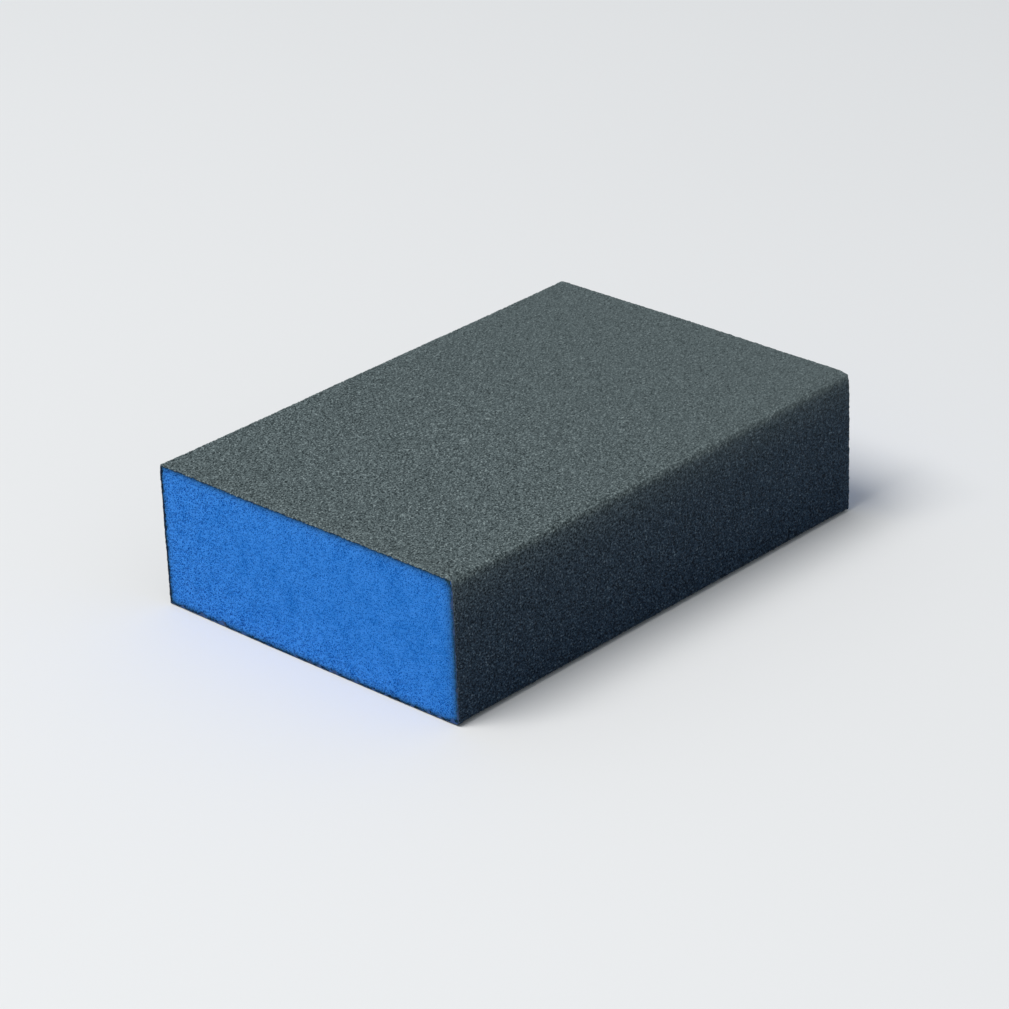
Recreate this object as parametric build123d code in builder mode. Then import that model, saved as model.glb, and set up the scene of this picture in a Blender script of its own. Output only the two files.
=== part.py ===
from build123d import *

import os

# A hand sanding block: a flexible foam core, bare at its two cut ends, with an abrasive
# coat on its four long faces. Each face is coated in its own pass, first with a bond
# coat of resin and then with a layer of grit, and neighbouring coats meet on a mitre
# along the middle of each rounded long edge.
#
# +X runs along the length, +Y across the width and +Z up. The origin is the middle of
# the bottom face, on the surface that the block rests on.

# ---- driving dimensions, mm ----
LENGTH = 97.0
WIDTH = 66.0
HEIGHT = 26.0
EDGE_RADIUS = 1.2          # the four long edges, measured over the grit
BOND_THICKNESS = 0.10      # the resin film that glues the grit to the foam
GRIT_THICKNESS = 0.25      # the grain, with the size resin that fills between it

# ---- worked out from them ----
# The section is drawn on the near end, about the middle of the block's height.
SECTION = Plane(origin=(-LENGTH / 2, 0, HEIGHT / 2), x_dir=(0, 1, 0), z_dir=(1, 0, 0))
COAT_THICKNESS = BOND_THICKNESS + GRIT_THICKNESS
ARC_Y = WIDTH / 2 - EDGE_RADIUS       # the long edges' arc centres, from the section's middle
ARC_Z = HEIGHT / 2 - EDGE_RADIUS
MITRE_REACH = 2 * EDGE_RADIUS         # how far a mitre line runs out past an arc centre

# The coated faces, and how far each is turned about the section from the top face.
FACES = {"top": 0, "front": 90, "bottom": 180, "back": -90}


def outline(depth, mode=Mode.ADD):
    """The section's rounded rectangle, at this depth below the finished surface."""
    RectangleRounded(WIDTH - 2 * depth, HEIGHT - 2 * depth, EDGE_RADIUS - depth, mode=mode)


def face_wedge(turn):
    """The part of the section that belongs to one face, out to its two mitre lines."""
    is_broad = turn in (0, 180)
    half_run, level = (ARC_Y, ARC_Z) if is_broad else (ARC_Z, ARC_Y)
    with BuildSketch() as wedge:
        with BuildLine():
            Polyline(
                (-half_run, level),
                (half_run, level),
                (half_run + MITRE_REACH, level + MITRE_REACH),
                (-half_run - MITRE_REACH, level + MITRE_REACH),
                close=True,
            )
        make_face()
    return wedge.sketch.rotate(Axis.Z, turn)


def face_coat(turn, depth, thickness):
    """One layer on one face: its outer side at this depth, and its ends on the mitre lines."""
    wedge = face_wedge(turn)
    with BuildPart() as coat:
        with BuildSketch(SECTION):
            outline(depth)
            outline(depth + thickness, mode=Mode.SUBTRACT)
            add(wedge, mode=Mode.INTERSECT)
        extrude(amount=LENGTH)
    return coat


def save(piece, name):
    piece.part.label = name
    export_step(piece.part, f"parts/{name}.step")


os.makedirs("parts", exist_ok=True)

# The foam core, cut square at both ends.
with BuildPart() as foam_core:
    with BuildSketch(SECTION):
        outline(COAT_THICKNESS)
    extrude(amount=LENGTH)
save(foam_core, "foam_core")

# The bond coat on the foam and the grit on the bond coat, face by face.
for face, turn in FACES.items():
    bond_coat = face_coat(turn, GRIT_THICKNESS, BOND_THICKNESS)
    save(bond_coat, f"bond_coat_{face}")
    grit_layer = face_coat(turn, 0, GRIT_THICKNESS)
    save(grit_layer, f"grit_layer_{face}")
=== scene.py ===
import math
from typing import NamedTuple

import bpy
import numpy as np
from mathutils import Matrix, Vector


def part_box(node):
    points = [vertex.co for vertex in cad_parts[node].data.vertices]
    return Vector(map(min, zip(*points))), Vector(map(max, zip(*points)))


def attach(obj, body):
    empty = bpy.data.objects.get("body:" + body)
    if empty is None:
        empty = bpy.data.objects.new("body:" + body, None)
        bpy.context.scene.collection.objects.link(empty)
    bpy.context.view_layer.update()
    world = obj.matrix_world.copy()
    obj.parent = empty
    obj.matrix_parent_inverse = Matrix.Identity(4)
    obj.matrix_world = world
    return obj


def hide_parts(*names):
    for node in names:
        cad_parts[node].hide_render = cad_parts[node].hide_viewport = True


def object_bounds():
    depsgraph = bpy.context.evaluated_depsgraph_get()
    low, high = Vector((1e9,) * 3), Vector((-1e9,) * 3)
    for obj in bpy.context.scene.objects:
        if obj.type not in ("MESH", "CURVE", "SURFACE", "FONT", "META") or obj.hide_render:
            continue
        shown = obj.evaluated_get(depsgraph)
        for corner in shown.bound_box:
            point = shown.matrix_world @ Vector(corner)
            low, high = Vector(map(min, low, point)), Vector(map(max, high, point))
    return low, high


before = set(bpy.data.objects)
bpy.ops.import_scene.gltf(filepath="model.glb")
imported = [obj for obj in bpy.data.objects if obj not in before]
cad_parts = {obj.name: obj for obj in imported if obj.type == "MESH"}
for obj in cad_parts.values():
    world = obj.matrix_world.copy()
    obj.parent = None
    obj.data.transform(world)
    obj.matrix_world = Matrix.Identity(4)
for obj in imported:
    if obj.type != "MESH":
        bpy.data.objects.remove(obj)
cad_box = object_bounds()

# A foam sanding block. The foam core is open-celled and cut bare at its two ends, and the
# four long faces carry a bond coat and a layer of angular grit. Every piece is a closed
# mesh inside the space of the CAD node that it replaces. Lengths are in metres, and the
# pairs given in mm are the least and the most of a random spread. Every random draw is
# seeded: from 41 for the softness, 61 for the dust and painted light, 71 for the stain, 100
# for the seams, 200 for the grit, 300 for the resin and 501 for the foam.

MM = 0.001

# ---- sizes, read from the frame ----
LOW, HIGH = cad_box
LENGTH, WIDTH, HEIGHT = HIGH - LOW
MIDDLE = (LOW + HIGH) / 2
GRIT_DEPTH = HIGH.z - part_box("bond_coat_top")[1].z      # from the surface to the bond coat
COAT_DEPTH = HIGH.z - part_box("foam_core")[1].z          # from the surface to the foam
MITRE_SHARE = math.sin(math.pi / 4)
EDGE_RADIUS = (HIGH.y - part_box("grit_layer_top")[1].y) / (1 - MITRE_SHARE)
HALF_ARC = EDGE_RADIUS * math.pi / 4                    # along the surface, edge to mitre

# ---- the grit ----
GRAIN_PITCH = 0.375 * MM         # from one grain to the next
GRAIN_WANDER = 0.34              # how far grains and gaps stray, as a share of the pitch
TIP_DEPTHS = (-0.05, 0.01)       # mm below the finished surface, so most tips stand proud
GAP_DEPTHS = (0.05, 0.17)        # mm
BARE_SHARE = 0.12                # cells with no grain standing in them
BRIDGED_SHARE = 0.16             # gaps filled by a larger grain

# ---- the coat's broken edge on the cut ends ----

class CutEdge(NamedTuple):
    """What the knife did to one face's coat."""
    chip: tuple      # mm that the grit's edge stops short of the cut or passes it
    curl: tuple      # how far down its own thickness the grit curls over
    smear: tuple     # mm of resin dragged over the foam: where it is thick, and at the most
    stain: float     # how much of the foam's blue has come off on the torn resin
    soak: float      # mm that the resin has soaked into the foam
    torn: float      # mm from this face that the knife has torn the foam's cells open
    pinch: float     # the share of the coat's thickness that is squeezed out


CUT_EDGES = {
    "top": CutEdge((-0.04, 0.04), (1.0, 1.8), (0.15, 0.20), 0.15, 0.55, 2.5, 0.0),
    "back": CutEdge((-0.10, 0.04), (0.3, 0.7), (0.10, 0.15), 0.35, 0.36, 16.0, 0.25),
    "bottom": CutEdge((-0.40, -0.05), (0.3, 0.7), (0.75, 0.90), 0.80, 0.44, 4.0, 0.50),
    "front": CutEdge((-0.10, 0.05), (0.4, 0.9), (0.55, 0.50), 0.50, 0.75, 1.0, 0.30),
}
FLECK_STAND = (0.03, 0.08)       # mm that a dragged fleck stands off the foam
CUT_GAP_SHARE = 0.5              # how much of the gaps' depth is left along the cut

# ---- pale dust and painted light on the grit ----
# Painted light: the grit is paler near the top and darker down the narrow faces, partly dust and
# partly painted light and shade falling off down the sides.
DUST_AND_LIGHT_DROPS = (0.8, 1.3, 2.4, 6.0, 9.0, 24.0)             # mm below the top face
DUST_AND_LIGHT_SHARES = (1.0, 0.68, 0.46, 0.26, 0.175, 0.03)       # how much dust and painted light lies at each; the rest is painted shade
DUST_OVER_FLOOR = 0.4            # mm that the underside's dust reaches up the narrow faces
DUST_AND_LIGHT_RAGGED = 0.22               # mm that the border of the dust and painted light strays
PACKED_FROM, PACKED_MOST = 0.25, 0.6     # packed dust: where it starts along the block, and its most

# ---- the foam ----
CELL_MESH = 0.22 * MM            # mesh spacing on the cut ends
CELL_PITCH = 0.50 * MM           # from one opened cell to the next
CELL_RADII = (0.14, 0.34)        # mm, the mouths of the opened cells
CELL_DEPTHS = (0.05, 0.22)       # mm
CELL_WANDER = 0.45               # how far cells stray, as a share of the pitch
CALM_OPENING, TORN_OPENING = 0.55, 1.40  # how much of its depth a cell shows, untorn and torn
END_BULGE = 0.14 * MM            # a knife cut leaves the ends a little proud in the middle

# ---- softness, shared by every layer ----

class LongEdge(NamedTuple):
    """How one long edge of the block differs from the drawn arc."""
    square: float    # from 0 for the arc to 1 for a sharp corner
    wear: float      # mm worn off, which is more on the front edges


LONG_EDGES = {
    ("back", "top"): LongEdge(0.0, 0.02),
    ("back", "bottom"): LongEdge(0.8, 0.0),
    ("front", "top"): LongEdge(0.35, 0.20),
    ("front", "bottom"): LongEdge(0.0, 0.02),
}
WEAR_REACH = 1.9 * MM
PINCH_REACH = 1.5 * MM           # how far into the foam a pinched coat pulls it along
FACE_WAVE = 0.04 * MM
BOTTOM_BOW = 0.18 * MM           # the underside is a little higher along its two long edges
FOOT_SPREAD = 0.10 * MM          # the back leans out this far at the floor
LONG_STEPS = 32                  # rows along the hidden surfaces
END_ROW = LENGTH / LONG_STEPS

# Each coated face by its across and outward directions, in order round the section.
UP, DOWN = Vector((0, 0, 1)), Vector((0, 0, -1))
LEFT, RIGHT = Vector((0, 1, 0)), Vector((0, -1, 0))
FACES = {"top": (LEFT, UP), "back": (DOWN, LEFT), "bottom": (RIGHT, DOWN), "front": (UP, RIGHT)}


# ---------------------------------------------------------------- meshes

def waves(first, second, wavelength, seed):
    """Smooth numbers, mostly from -1 to 1, over two coordinates: a few slanting waves added."""
    rng = np.random.default_rng(seed)
    total = np.zeros(np.broadcast(first, second).shape)
    count = 6
    for _ in range(count):
        heading, phase = rng.uniform(0, 2 * math.pi, 2)
        turns = 2 * math.pi / (wavelength * rng.uniform(0.8, 1.6))
        total += np.sin(turns * (first * math.cos(heading) + second * math.sin(heading)) + phase)
    return total / count * 1.6


def edge_values(y, rise, name):
    """For each point, the named number of the long edge nearest to it."""
    values = {place: getattr(edge, name) for place, edge in LONG_EDGES.items()}
    back = np.where(rise > 0, values["back", "top"], values["back", "bottom"])
    front = np.where(rise > 0, values["front", "top"], values["front", "bottom"])
    return np.where(y > 0, back, front)


def squared(y, z):
    """y and z about the block's middle, with each rounded long edge made as square as it is."""
    arc_y = np.abs(y) - (WIDTH / 2 - EDGE_RADIUS)
    arc_z = np.abs(z) - (HEIGHT / 2 - EDGE_RADIUS)
    on_arc = (arc_y > 0) & (arc_z > 0)
    sharp = np.where(on_arc, np.hypot(arc_y, arc_z) / np.where(on_arc, np.maximum(arc_y, arc_z), 1), 1)
    grow = edge_values(y, z, "square") * (sharp - 1) * on_arc
    return y + np.sign(y) * arc_y * grow, z + np.sign(z) * arc_z * grow


def pinched(gap, share, x):
    """How far a point this far under a face moves out to it, close to a cut end."""
    near_end = np.clip(1 - (LENGTH / 2 - np.abs(x)) / END_ROW, 0, 1)
    fade = np.exp(-np.clip(gap - COAT_DEPTH, 0, None) / PINCH_REACH)
    return share * near_end * np.clip(gap, 0, COAT_DEPTH) * fade


def softened(points):
    """The points of a layer, moved as the whole foam body gives: wavy faces, worn long edges,
    coats pinched at the cut, and ends that stand a little proud. Every layer moves alike, so
    they stay in contact."""
    x, y, z = points.T
    side = y / (WIDTH / 2)
    rise = (z - MIDDLE.z) / (HEIGHT / 2)
    off_floor = np.clip(z / (HEIGHT / 3), 0, 1)
    edge_gap = np.hypot(WIDTH / 2 - np.abs(y), HEIGHT / 2 - np.abs(z - MIDDLE.z))
    ripple = 0.8 + 0.3 * waves(x, 60 * MM * np.sign(y) + 30 * MM * np.sign(rise), 18 * MM, 41)
    wear = edge_values(y, rise, "wear") * MM * ripple * np.exp(-(edge_gap / WEAR_REACH) ** 2)

    moved = points.copy()
    square_y, square_z = squared(y, z - MIDDLE.z)
    moved[:, 1] = square_y + FACE_WAVE * waves(x, z, 34 * MM, 42) * side - wear * np.sign(y)
    moved[:, 1] += FOOT_SPREAD * np.clip(side, 0, 1) * (1 - rise) / 2
    moved[:, 1] += pinched(WIDTH / 2 - y, CUT_EDGES["back"].pinch, x)
    moved[:, 1] -= pinched(WIDTH / 2 + y, CUT_EDGES["front"].pinch, x)
    moved[:, 2] = square_z + MIDDLE.z + FACE_WAVE * waves(x, y, 40 * MM, 43) * rise * off_floor
    moved[:, 2] += BOTTOM_BOW * np.abs(side) ** 2.5 * (1 - off_floor) - wear * np.sign(rise)
    moved[:, 2] -= pinched(z, CUT_EDGES["bottom"].pinch, x)
    moved[:, 2] = np.maximum(moved[:, 2], 0)
    ends = np.sign(x) * np.clip(np.abs(x) / (LENGTH / 2), 0, 1) ** 4
    moved[:, 0] += END_BULGE * ends * (1 - side ** 2) * (0.7 + 0.3 * waves(y, z, 25 * MM, 44))
    return moved


def four_corners(grid):
    """The four corners of each square of a grid, as seen from outside when the grid's first
    axis runs along the block and its second across the face. Works on any grid of values."""
    squares = np.stack([grid[:-1, :-1], grid[1:, :-1], grid[1:, 1:], grid[:-1, 1:]], axis=2)
    return squares.reshape(-1, 4, *grid.shape[2:])


def map_grid(rows, cols):
    """Where each point of an evenly spaced grid lies in its strip of the bake map."""
    return np.stack(np.meshgrid(np.linspace(0, 1, rows), np.linspace(0, 1, cols), indexing="ij"), -1)


class Shell:
    """A closed mesh, put together from grids of points and the faces between them. Each set of
    faces takes its own strip of the bake map, from one height of the map to another."""

    def __init__(self):
        self.points, self.faces, self.layout = [], [], []
        self.numbers = {}

    def place(self, points, **numbers):
        """Adds a grid of points with their named numbers, and gives back their indices."""
        start = sum(len(p) for p in self.points)
        self.points.append(points.reshape(-1, 3))
        shape = points.shape[:-1]
        for name, values in numbers.items():
            values = np.broadcast_to(np.asarray(values, float), shape)
            self.numbers.setdefault(name, []).append(values.ravel())
        return start + np.arange(math.prod(shape)).reshape(shape)

    def skin(self, faces, layout, strip, flip=False):
        """Adds faces of equal corner counts, with their corners' places in the strip."""
        order = slice(None, None, -1) if flip else slice(None)
        self.faces += faces[:, order].tolist()
        low, high = strip
        placed = layout[:, order] * (0.99, high - low) + (0.005, low)
        self.layout.append(placed.reshape(-1, 2))

    def wall(self, grid, strip, flip=False):
        """Adds the squares of an index grid."""
        self.skin(four_corners(grid), four_corners(map_grid(*grid.shape)), strip, flip)

    def finish(self, name, material, smooth, tones=None):
        """Makes the object. tones, if given, holds a number for each face."""
        mesh = bpy.data.meshes.new(name)
        mesh.from_pydata(softened(np.vstack(self.points)).tolist(), [], self.faces)
        for label, values in self.numbers.items():
            layer = mesh.attributes.new(label, "FLOAT", "POINT")
            layer.data.foreach_set("value", np.concatenate(values).astype(np.float32))
        if tones is not None:
            layer = mesh.attributes.new("tone", "FLOAT", "FACE")
            layer.data.foreach_set("value", tones.astype(np.float32))
        layer = mesh.uv_layers.new(name="OFBake")
        layer.data.foreach_set("uv", np.vstack(self.layout).astype(np.float32).ravel())
        mesh.polygons.foreach_set("use_smooth", np.full(len(self.faces), smooth))
        mesh.update()
        mesh.materials.append(material)
        piece = bpy.data.objects.new(name, mesh)
        bpy.context.scene.collection.objects.link(piece)
        return piece


# ---------------------------------------------------------------- materials

class Nodes:
    """A material's node tree, with short calls for adding and linking nodes."""

    def __init__(self, name):
        self.material = bpy.data.materials.new(name)
        self.material.use_nodes = True
        self.tree = self.material.node_tree
        self.shader = self.tree.nodes["Principled BSDF"]

    def add(self, kind, values=None, **settings):
        node = self.tree.nodes.new(kind)
        for key, value in settings.items():
            setattr(node, key, value)
        for key, value in (values or {}).items():
            self.put(value, node.inputs[key])
        return node

    def put(self, value, socket):
        """Links an output socket to this input, or sets the input to a plain value."""
        if isinstance(value, bpy.types.NodeSocket):
            self.tree.links.new(value, socket)
        else:
            socket.default_value = value

    def total(self, *shares):
        """Adds up (weight, value) pairs."""
        result = None
        for weight, value in shares:
            if result is None:
                node = self.add("ShaderNodeMath", {0: value, 1: weight}, operation="MULTIPLY")
            else:
                node = self.add("ShaderNodeMath", {0: value, 1: weight, 2: result},
                                operation="MULTIPLY_ADD")
            result = node.outputs[0]
        return result

    def mix(self, share, low, high):
        """A colour from low to high."""
        node = self.add("ShaderNodeMix", data_type="RGBA")
        for index, value in ((0, share), (6, low), (7, high)):
            self.put(value, node.inputs[index])
        return node.outputs[2]

    def spread(self, value, low, high, new_low=0.0, new_high=1.0):
        """value's range low to high, mapped to new_low to new_high and clipped."""
        inputs = {0: value, 1: low, 2: high, 3: new_low, 4: new_high}
        return self.add("ShaderNodeMapRange", inputs).outputs[0]

    def number(self, name):
        return self.add("ShaderNodeAttribute", attribute_name=name).outputs["Fac"]

    def noise(self, size, detail=2.0, roughness=0.5):
        """Noise whose features are about this size, in metres, fixed to the object."""
        values = {"Scale": 1 / size, "Detail": detail, "Roughness": roughness}
        node = self.add("ShaderNodeTexNoise", values)
        self.put(self.add("ShaderNodeTexCoord").outputs["Object"], node.inputs["Vector"])
        return node.outputs["Fac"]

    def cells(self, size, feature="F1", output="Color"):
        """Random cells about this size, in metres, fixed to the object."""
        node = self.add("ShaderNodeTexVoronoi", {"Scale": 1 / size}, feature=feature)
        self.put(self.add("ShaderNodeTexCoord").outputs["Object"], node.inputs["Vector"])
        return node.outputs[output]

    def bump(self, height, distance, strength=1.0):
        values = {"Height": height, "Distance": distance, "Strength": strength}
        return self.add("ShaderNodeBump", values).outputs["Normal"]

    def finish(self, **inputs):
        for key, value in inputs.items():
            self.put(value, self.shader.inputs[key.replace("_", " ")])
        return self.material


def grit_material():
    """Angular mineral grain in dark size resin. Use has left pale dust on the broad faces and
    over the upper edges. The pale that fades down the narrow faces is partly dust and partly
    painted light, the narrow faces under it carry painted shade, darker and bluer, and the
    brightest specks are painted glints."""
    n = Nodes("slate_grit")
    height, tone, dust = n.number("height"), n.number("tone"), n.number("dust")
    speck = n.cells(0.24 * MM)
    stone = n.spread(n.noise(0.32 * MM, detail=1.0), 0.25, 0.75)
    crack = n.spread(n.cells(0.36 * MM, "DISTANCE_TO_EDGE", "Distance"), 0.0, 0.16)
    fine = n.noise(0.15 * MM, detail=3.0, roughness=0.65)
    patch = n.noise(1.9 * MM)
    lit = n.total((0.30, height), (0.16, tone), (0.36, speck), (0.90, stone), (0.20, crack),
                  (0.30, fine), (0.04, patch))
    body = n.spread(lit, 0.82, 1.44)
    # Painted glint: the brightest specks are painted pale, standing in for grain tips that catch the
    # light.
    painted_glint = n.spread(lit, 1.42, 1.80)
    dusty = n.mix(body, (0.028, 0.041, 0.044, 1), (0.158, 0.201, 0.208, 1))
    dusty = n.mix(painted_glint, dusty, (0.320, 0.380, 0.385, 1))
    dusty = n.mix(n.number("packed"), dusty, (0.102, 0.131, 0.136, 1))
    # Painted shade: the narrow faces away from the dust get this darker, bluer colour, standing in for
    # their shade.
    painted_shade_clean = n.mix(body, (0.0008, 0.0042, 0.0125, 1), (0.0240, 0.0515, 0.0920, 1))
    painted_shade_clean = n.mix(painted_glint, painted_shade_clean, (0.125, 0.168, 0.205, 1))
    # Dust and painted light take the pale colour, painted shade the dark one.
    colour = n.mix(dust, painted_shade_clean, dusty)
    roughness = n.spread(tone, 0.0, 1.0, 0.52, 0.86)
    bump = n.bump(n.total((1.0, fine), (0.8, crack)), 0.03 * MM, 0.8)
    return n.finish(Base_Color=colour, Roughness=roughness, Normal=bump, Specular_IOR_Level=0.1)


def foam_material():
    """Blue flexible foam: matt skin between the cells, painted shade inside them, and a dark
    border where resin from the coat has soaked in."""
    n = Nodes("blue_foam")
    pit, soak = n.number("pit"), n.number("soak")
    fine = n.noise(0.17 * MM, detail=3.0, roughness=0.65)
    patch = n.noise(2.6 * MM)
    small = n.spread(n.cells(0.27 * MM, output="Distance"), 0.12, 0.45)
    shade = n.total((0.50, fine), (0.22, patch), (0.40, small))
    lit = n.mix(n.number("torn"), n.spread(shade, 0.37, 0.86), n.spread(shade, 0.52, 0.74))
    colour = n.mix(n.spread(lit, 0.0, 0.5), (0.0, 0.058, 0.334, 1), (0.0095, 0.140, 0.503, 1))
    colour = n.mix(n.spread(lit, 0.5, 1.0), colour, (0.052, 0.262, 0.778, 1))
    # Painted shade: the deeper a point lies in an opened cell, the darker its blue.
    colour = n.mix(n.spread(pit, 0.1, 1.2, 0.0, 0.42), colour, (0.0, 0.040, 0.26, 1))
    soaked = n.spread(soak, 0.0, 1.0, 0.0, n.spread(fine, 0.35, 0.65, 0.75, 1.6))
    colour = n.mix(soaked, colour, (0.018, 0.045, 0.052, 1))
    roughness = n.spread(fine, 0.3, 0.7, 0.78, 0.96)
    bump = n.bump(n.total((1.0, fine), (0.8, small)), 0.06 * MM, 0.8)
    return n.finish(Base_Color=colour, Roughness=roughness, Normal=bump, Specular_IOR_Level=0.0)


def bond_material():
    """The resin film under the grit, nearly black, with the foam's blue on it where it is torn."""
    n = Nodes("bond_resin")
    fine = n.noise(0.14 * MM, detail=3.0)
    colour = n.mix(n.spread(fine, 0.35, 0.7), (0.003, 0.007, 0.014, 1), (0.009, 0.022, 0.046, 1))
    colour = n.mix(n.number("stain"), colour, (0.006, 0.075, 0.27, 1))
    bump = n.bump(fine, 0.03 * MM, 0.6)
    return n.finish(Base_Color=colour, Roughness=n.spread(fine, 0.3, 0.7, 0.5, 0.8), Normal=bump)


# ---------------------------------------------------------------- the coats

class Face:
    """One coated face. t runs along the surface across the face, from mitre to mitre."""

    def __init__(self, across, out):
        self.across = np.array(across)
        self.out = np.array(out)
        broad = abs(out.z) > 0.5
        wide, deep = (WIDTH, HEIGHT) if broad else (HEIGHT, WIDTH)
        self.half_run = wide / 2 - EDGE_RADIUS
        self.level = deep / 2 - EDGE_RADIUS
        self.span = 2 * (HALF_ARC + self.half_run)
        self.rows = round(LENGTH / GRAIN_PITCH)
        self.cols = round(self.span / GRAIN_PITCH)
        self.even_t = np.linspace(0, self.span, self.cols + 1)

    def at(self, x, t, depth):
        """Points at x along the block, t across the face and this depth below its surface."""
        past = t - HALF_ARC
        run = np.clip(past, 0, 2 * self.half_run)
        angle = (past - run) / EDGE_RADIUS
        reach = EDGE_RADIUS - depth
        u = run - self.half_run + np.sin(angle) * reach
        w = self.level + np.cos(angle) * reach
        x, u, w = np.broadcast_arrays(x, u, w)
        points = np.array(MIDDLE) * (0, 0, 1) + u[..., None] * self.across + w[..., None] * self.out
        points[..., 0] = x
        return points

    def sheet(self, depth):
        """A grid at this depth, even and coarse, for the surfaces that stay hidden."""
        even_x = np.linspace(-LENGTH / 2, LENGTH / 2, LONG_STEPS + 1)
        return self.at(even_x[:, None], self.even_t, depth)


def spread_mm(rng, limits, shape):
    return rng.uniform(*limits, shape) * MM


def seam(index, rows):
    """The wander and depth of the points on one mitre, which the two coats there share."""
    rng = np.random.default_rng(100 + index)
    wander = rng.uniform(-GRAIN_WANDER, GRAIN_WANDER, rows) * LENGTH / (rows - 1)
    wander[[0, -1]] = 0
    return wander, spread_mm(rng, (TIP_DEPTHS[0], GAP_DEPTHS[1]), rows)


def lattice(face, rng, rows, cols, offset):
    """Straying points, one to a cell: where they are along and across the face."""
    row, col = np.meshgrid(np.arange(rows) + offset, np.arange(cols) + offset, indexing="ij")
    stray = rng.uniform(-GRAIN_WANDER, GRAIN_WANDER, (2, *row.shape))
    x = (row + stray[0]) * LENGTH / face.rows - LENGTH / 2
    t = (col + stray[1]) * face.span / face.cols
    return x, t


def gaps(face, rng, index, end_limits):
    """The low points between the grains. Those on the two mitres and the two ends are kept
    in line, to meet the next coat and the cut."""
    rows, cols = face.rows + 1, face.cols + 1
    x, t = lattice(face, rng, rows, cols, 0.0)
    depth = spread_mm(rng, GAP_DEPTHS, x.shape)
    bridged = rng.random(x.shape) < BRIDGED_SHARE
    depth[bridged] = spread_mm(rng, TIP_DEPTHS, bridged.sum())
    even_x = np.linspace(-LENGTH / 2, LENGTH / 2, rows)
    for edge, place, number in ((0, 0, index), (-1, face.span, (index + 1) % len(FACES))):
        wander, seam_depth = seam(number, rows)
        x[:, edge], t[:, edge], depth[:, edge] = even_x + wander, place, seam_depth
    for edge, way in ((0, -1), (-1, 1)):
        broken = spread_mm(rng, end_limits, cols)
        broken[[0, -1]] = 0
        x[edge] = way * (LENGTH / 2 + broken)
        depth[edge] *= CUT_GAP_SHARE
    return x, t, depth


def grains(face, rng):
    """The tips of the grains, one to a cell, apart from a few cells that have lost theirs."""
    x, t = lattice(face, rng, face.rows, face.cols, 0.5)
    depth = spread_mm(rng, TIP_DEPTHS, x.shape)
    bare = rng.random(x.shape) < BARE_SHARE
    depth[bare] = spread_mm(rng, GAP_DEPTHS, bare.sum())
    return x, t, depth


def facets(gap, tip):
    """The four triangles of each cell, from its corner gaps up to its tip. Works on grids of
    indices and on grids of places in the bake map."""
    corners = four_corners(gap)
    tip = tip.reshape(-1, *tip.shape[2:])
    sides = [np.stack([corners[:, k], corners[:, (k + 1) % 4], tip], axis=1) for k in range(4)]
    return np.concatenate(sides)


def height_of(depth):
    """1 at the tallest tip, 0 at the deepest gap."""
    return (GAP_DEPTHS[1] - depth / MM) / (GAP_DEPTHS[1] - TIP_DEPTHS[0])


def dust_on(points):
    """How much pale dust and painted light lies at these points: all of it on the broad faces,
    part of it just over the long edges with a ragged border, and less and less down the
    narrow faces, where the rest is painted shade."""
    x, z = points[..., 0], points[..., 2]
    ragged = DUST_AND_LIGHT_RAGGED * (waves(x, z, 2.2 * MM, 61) + waves(x, z, 0.9 * MM, 62))
    over_top = np.interp((HIGH.z - z) / MM + ragged, DUST_AND_LIGHT_DROPS, DUST_AND_LIGHT_SHARES)
    over_floor = np.interp(z / MM + ragged, (0.0, DUST_OVER_FLOOR), (1.0, 0.0))
    return np.maximum(over_top, over_floor)


def packed_on(points):
    """How far dust has filled in between the grains: more and more toward one end."""
    along = points[..., 0] / LENGTH + 0.5
    return np.interp(along, (PACKED_FROM, 1.0), (0.0, PACKED_MOST))


def lying_on(points):
    """The numbers for the dust and painted light at these points, by their names in the grit's
    material.
    """
    return {"dust": dust_on(points), "packed": packed_on(points)}


def mitre_walls(shell, outer, rims, inner, strips):
    """Closes a coat along its two mitres with one flat face each, between the index grids of its
    two sides. rims holds the rows of points half way down its near and its far end."""
    near, far = rims
    for edge, strip, flip in ((0, strips[0], True), (-1, strips[1], False)):
        loop = np.concatenate([outer[:, edge], [far[edge]], inner[::-1, edge], [near[edge]]])
        place = np.zeros((len(loop), 2))
        place[:, 0] = np.abs(np.linspace(-1, 1, len(loop)))
        place[:len(outer), 1] = 1
        shell.skin(loop[None], place[None], strip, flip)


def grit_end(face, rng, cut, way):
    """The chipped row of points half way down one end of the grit. Where it curls far down,
    it also stands out, to pass over the resin."""
    chip = spread_mm(rng, cut.chip, face.cols + 1)
    depth = GRIT_DEPTH * rng.uniform(*cut.curl, face.cols + 1)
    chip = np.maximum(chip, (depth - 0.6 * GRIT_DEPTH) * 0.6)
    chip[[0, -1]] = 0
    depth[[0, -1]] = GRIT_DEPTH / 2
    return face.at(way * (LENGTH / 2 + chip), face.even_t, depth)


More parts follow.
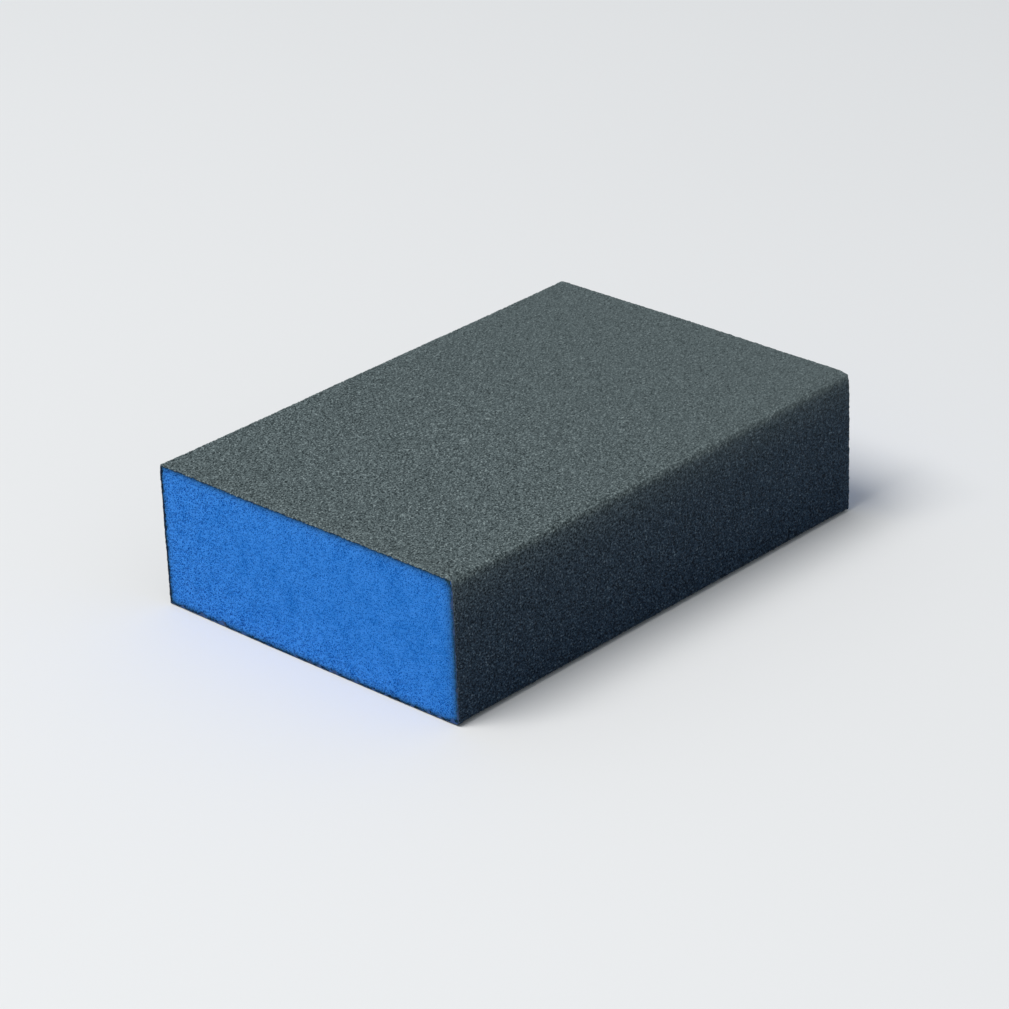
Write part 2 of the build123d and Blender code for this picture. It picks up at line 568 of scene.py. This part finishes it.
def grit_layer(side, index, material):
    """One face's grit: each grain is a crooked four-sided point in its own cell, so that the
    light breaks on real facets. Its two ends are broken off ragged, where the block was cut."""
    face, cut = Face(*FACES[side]), CUT_EDGES[side]
    rng = np.random.default_rng(200 + index)
    shell = Shell()

    gap_x, gap_t, gap_depth = gaps(face, rng, index, cut.chip)
    tip_x, tip_t, tip_depth = grains(face, rng)
    gap_points = face.at(gap_x, gap_t, gap_depth)
    tip_points = face.at(tip_x, tip_t, tip_depth)
    gap, tip = (shell.place(points, height=height_of(depth), **lying_on(points))
                for points, depth in ((gap_points, gap_depth), (tip_points, tip_depth)))
    gap_map = np.stack([gap_x / LENGTH + 0.5, gap_t / face.span], -1)
    tip_map = np.stack([tip_x / LENGTH + 0.5, tip_t / face.span], -1)
    shell.skin(facets(gap, tip), facets(np.clip(gap_map, 0, 1), tip_map), (0.005, 0.85))
    grain_faces = len(shell.faces)

    under = shell.place(face.sheet(GRIT_DEPTH), height=0.0, dust=0.0, packed=0.0)
    shell.wall(under, (0.87, 0.91), flip=True)
    rims = []
    for edge, way, strip in ((0, -1, (0.92, 0.93)), (-1, 1, (0.94, 0.95))):
        chipped = grit_end(face, rng, cut, way)
        rims.append(shell.place(chipped, height=0.5, **lying_on(chipped)))
        shell.wall(np.vstack([under[edge], rims[-1], gap[edge]]), strip, flip=edge == -1)
    mitre_walls(shell, gap, rims, under, ((0.96, 0.97), (0.98, 0.99)))

    tones = np.tile(rng.random(tip.size), 4)
    tones = np.concatenate([tones, rng.random(len(shell.faces) - grain_faces)])
    return shell.finish(f"grit_{side}", material, False, tones)


def resin_end(face, rng, cut, way):
    """The row of points that the knife has dragged from one end of the resin over the foam: a
    smear here and there, and hardly any between."""
    thick, most = cut.smear
    smear = np.clip(waves(face.even_t, way, 2.4 * MM, rng.integers(1000)), 0, None)
    smear = np.minimum(smear * thick * rng.uniform(0.3, 1.7, face.cols + 1), most) * MM
    smear = np.minimum(smear, np.minimum(face.even_t, face.span - face.even_t) * 0.8)
    stand = spread_mm(rng, FLECK_STAND, face.cols + 1)
    stand[[0, -1]] = 0
    return face.at(way * (LENGTH / 2 + stand), face.even_t, COAT_DEPTH + smear)


def stain_on(points, cut):
    """How much of the foam's blue lies on the resin at these points."""
    y, z = points[..., 1], points[..., 2]
    return np.clip(cut.stain * (1 + 0.9 * waves(y, z, 1.6 * MM, 71)), 0, 1)


def bond_coat(side, index, material):
    """One face's resin film, between the foam and the grit, smeared where the block was cut."""
    face, cut = Face(*FACES[side]), CUT_EDGES[side]
    rng = np.random.default_rng(300 + index)
    shell = Shell()
    sheets = []
    for depth, strip in ((GRIT_DEPTH, (0.005, 0.42)), (COAT_DEPTH, (0.44, 0.86))):
        points = face.sheet(depth)
        sheets.append(shell.place(points, stain=stain_on(points, cut)))
        shell.wall(sheets[-1], strip, flip=depth == COAT_DEPTH)
    outer, inner = sheets
    rims = []
    for edge, way, strip in ((0, -1, (0.87, 0.89)), (-1, 1, (0.90, 0.92))):
        dragged = resin_end(face, rng, cut, way)
        rims.append(shell.place(dragged, stain=stain_on(dragged, cut)))
        shell.wall(np.vstack([inner[edge], rims[-1], outer[edge]]), strip, flip=edge == -1)
    mitre_walls(shell, outer, rims, inner, ((0.93, 0.95), (0.96, 0.98)))
    return shell.finish(f"bond_{side}", material, False)


# ---------------------------------------------------------------- the foam core

def opened_cells(y, z, seed):
    """How deep each point of a cut end lies in an opened foam cell. Cells sit near the points
    of a grid, each with its own mouth and depth."""
    rng = np.random.default_rng(seed)
    shape = int(WIDTH / CELL_PITCH) + 4, int(HEIGHT / CELL_PITCH) + 4
    wander = rng.uniform(-CELL_WANDER, CELL_WANDER, (2, *shape))
    radius = spread_mm(rng, CELL_RADII, shape)
    deepest = spread_mm(rng, CELL_DEPTHS, shape)
    near_y = np.floor((y + WIDTH / 2) / CELL_PITCH).astype(int) + 1
    near_z = np.floor(z / CELL_PITCH).astype(int) + 1
    depth = np.zeros(y.shape)
    for step_y in (-1, 0, 1):
        for step_z in (-1, 0, 1):
            cell = near_y + step_y, near_z + step_z
            cell_y = (cell[0] - 0.5 + wander[0][cell]) * CELL_PITCH - WIDTH / 2
            cell_z = (cell[1] - 0.5 + wander[1][cell]) * CELL_PITCH
            share = np.hypot(y - cell_y, z - cell_z) / radius[cell]
            depth = np.maximum(depth, deepest[cell] * np.clip(1 - share ** 2, 0, 1))
    return depth


def end_grid():
    """A fine grid over the foam's cut end, with its corners drawn in to the rounded outline."""
    half_y, half_z = WIDTH / 2 - COAT_DEPTH, HEIGHT / 2 - COAT_DEPTH
    radius = EDGE_RADIUS - COAT_DEPTH
    cols, rows = round(2 * half_y / CELL_MESH), round(2 * half_z / CELL_MESH)
    y, z = np.meshgrid(np.linspace(-half_y, half_y, cols + 1),
                       np.linspace(-half_z, half_z, rows + 1), indexing="ij")
    past_y = np.clip(np.abs(y) - (half_y - radius), 0, None)
    past_z = np.clip(np.abs(z) - (half_z - radius), 0, None)
    corner = (past_y > 0) & (past_z > 0)
    draw = np.maximum(past_y, past_z) / np.where(corner, np.hypot(past_y, past_z), 1)
    y = np.where(corner, np.sign(y) * (half_y - radius + past_y * draw), y)
    z = np.where(corner, np.sign(z) * (half_z - radius + past_z * draw), z)
    return y, z + MIDDLE.z


def foam_core(material):
    """The foam: opened cells on the two cut ends, and plain sides under the coats."""
    y, z = end_grid()
    half_y, top = WIDTH / 2 - COAT_DEPTH, HEIGHT - COAT_DEPTH
    edge_gaps = {"top": top - z, "back": half_y - y, "bottom": z - COAT_DEPTH, "front": half_y + y}
    soak = sum(np.exp(-gap / (CUT_EDGES[side].soak * MM)) for side, gap in edge_gaps.items())
    torn = sum(np.exp(-gap / (CUT_EDGES[side].torn * MM)) for side, gap in edge_gaps.items())
    torn = np.minimum(torn, 1)
    opening = CALM_OPENING + (TORN_OPENING - CALM_OPENING) * torn
    shell = Shell()
    ends = []
    for way, seed, strip in ((-1, 501, (0.005, 0.39)), (1, 502, (0.41, 0.80))):
        depth = opened_cells(y, z, seed) * opening
        points = np.stack([way * (LENGTH / 2 - depth), y, z], -1)
        # Each point's depth in its cell sets the painted shade there.
        end = shell.place(points, pit=depth / (CELL_DEPTHS[1] * MM), soak=soak, torn=torn)
        shell.wall(end, strip, flip=way == -1)
        ends.append(end)
    rims = [np.concatenate([e[:, 0], e[-1, 1:], e[-2::-1, -1], e[0, -2::-1]]) for e in ends]
    outline = shell.points[0][rims[0], 1:]
    rings = [rims[0]]
    for x in np.linspace(-LENGTH / 2, LENGTH / 2, LONG_STEPS + 1)[1:-1]:
        points = np.column_stack([np.full(len(outline) - 1, x), outline[:-1]])
        ring = shell.place(points, pit=0.0, soak=1.0, torn=0.0)
        rings.append(np.append(ring, ring[0]))
    rings.append(rims[1])
    shell.wall(np.array(rings), (0.82, 0.995), flip=True)
    return shell.finish("foam_block", material, True)


# ---------------------------------------------------------------- assembly

def settle(piece, node):
    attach(piece, "root")
    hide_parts(node)


def build_block():
    foam = foam_core(foam_material())
    settle(foam, "foam_core")
    grit, resin = grit_material(), bond_material()
    for index, side in enumerate(FACES):
        settle(bond_coat(side, index, resin), f"bond_coat_{side}")
        settle(grit_layer(side, index, grit), f"grit_layer_{side}")


# ---------------------------------------------------------------- floor, light and camera

def build_floor():
    n = Nodes("pale_floor")
    colour = n.mix(n.noise(0.4), (0.80, 0.81, 0.82, 1), (0.84, 0.85, 0.86, 1))
    material = n.finish(Base_Color=colour, Roughness=0.9, Specular_IOR_Level=0.1)
    half = 3.0
    mesh = bpy.data.meshes.new("floor")
    mesh.from_pydata([(-half, -half, 0), (half, -half, 0), (half, half, 0), (-half, half, 0)], [],
                     [(0, 1, 2, 3)])
    mesh.materials.append(material)
    floor = bpy.data.objects.new("floor", mesh)
    bpy.context.scene.collection.objects.link(floor)


def soft_light(name, place, size, watts, colour):
    """A square soft light that looks at the block from this place."""
    light = bpy.data.lights.new(name, "AREA")
    light.size = size
    light.energy = watts
    light.color = colour
    lamp = bpy.data.objects.new(name, light)
    lamp.location = place
    lamp.rotation_euler = (Vector(place) - MIDDLE).to_track_quat("Z", "Y").to_euler()
    bpy.context.scene.collection.objects.link(lamp)


def build_light():
    world = bpy.data.worlds.new("studio")
    world.use_nodes = True
    background = world.node_tree.nodes["Background"]
    background.inputs["Color"].default_value = (0.90, 0.95, 1.0, 1)
    background.inputs["Strength"].default_value = 0.38
    bpy.context.scene.world = world
    soft_light("key", (-0.90, 0.29, 1.70), 1.1, 30.5, (1.0, 0.985, 0.965))


def build_camera():
    """The camera stands where the object's near end, front and top show, through a long lens."""
    azimuth, elevation, roll = (math.radians(a) for a in (-46.09, 26.03, -2.34))
    distance, lens = 638.8 * MM, 136.5
    aside, above = 1.43 * MM, 2.84 * MM      # the block's middle from the picture's middle
    turn = (Matrix.Rotation(azimuth, 4, "Z") @ Matrix.Rotation(math.pi / 2 - elevation, 4, "X")
            @ Matrix.Rotation(roll, 4, "Z"))
    camera = bpy.data.objects.new("camera", bpy.data.cameras.new("camera"))
    camera.data.lens = lens
    camera.data.sensor_width = 36.0
    camera.data.clip_start = 0.01
    stand = Matrix.Translation((-aside, -above, distance))
    camera.matrix_world = Matrix.Translation(MIDDLE) @ turn @ stand
    bpy.context.scene.collection.objects.link(camera)
    bpy.context.scene.camera = camera


build_block()
build_floor()
build_light()
build_camera()
bpy.context.scene.view_settings.view_transform = "Standard"
